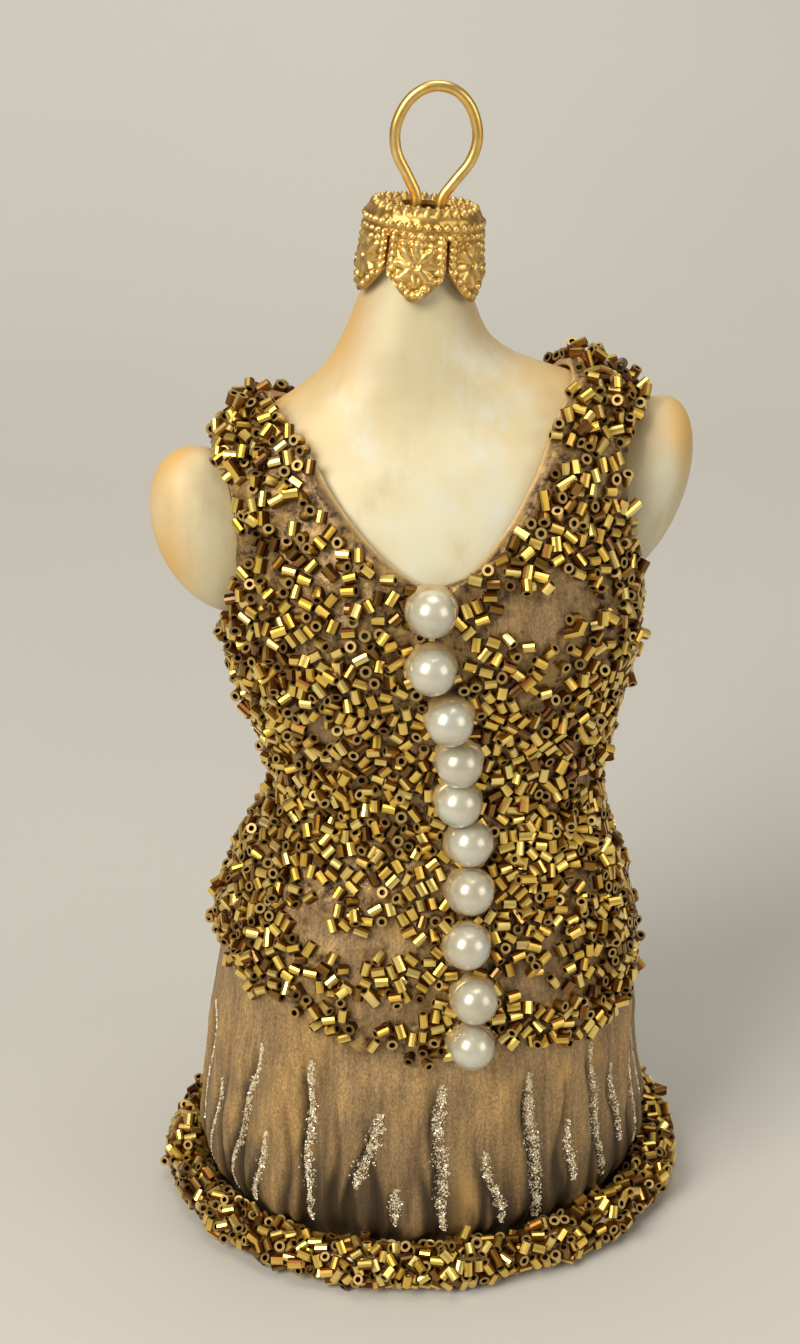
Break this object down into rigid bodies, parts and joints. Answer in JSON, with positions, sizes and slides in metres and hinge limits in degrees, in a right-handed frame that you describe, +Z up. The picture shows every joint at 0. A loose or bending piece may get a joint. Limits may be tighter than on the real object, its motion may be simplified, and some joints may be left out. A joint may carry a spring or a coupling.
{
  "type": "mini dress on a limbless dress form, glass hanging ornament",
  "caption": "Sleeveless V-neck mini dress with beaded bodice, skirt folds and beaded hem on a limbless dress form, with cap and hanging loop; rests on its hem or hangs.",
  "frame": {"origin": "middle of the hem's outline at the level it stands on", "axes": "+Z up along the body, front faces -Y, +X to the right of one who looks at the front"},
  "size_m": [0.0666, 0.0586, 0.1362],
  "materials": {
    "dress": "bronze paint with fine gold shimmer, opaque, crusted with small gold-lined cut beads",
    "hem_beads": "gold-lined cut glass beads, opaque",
    "pearls": "pearl white, glossy",
    "form_glass": "pearlescent cream over blown glass, opaque",
    "cap": "pressed and embossed, satin gold",
    "loop": "polished gold wire"
  },
  "bodies": {
    "root": {"dress_front": "dress", "dress_back": "dress", "hem_band_front": "hem_beads", "hem_band_back": "hem_beads", "pearl_01": "pearls", "pearl_02": "pearls", "pearl_03": "pearls", "pearl_04": "pearls", "pearl_05": "pearls", "pearl_06": "pearls", "pearl_07": "pearls", "pearl_08": "pearls", "pearl_09": "pearls", "pearl_10": "pearls", "dress_form": "form_glass", "crown_cap": "cap", "hanging_loop": "loop"}
  },
  "joints": []
}
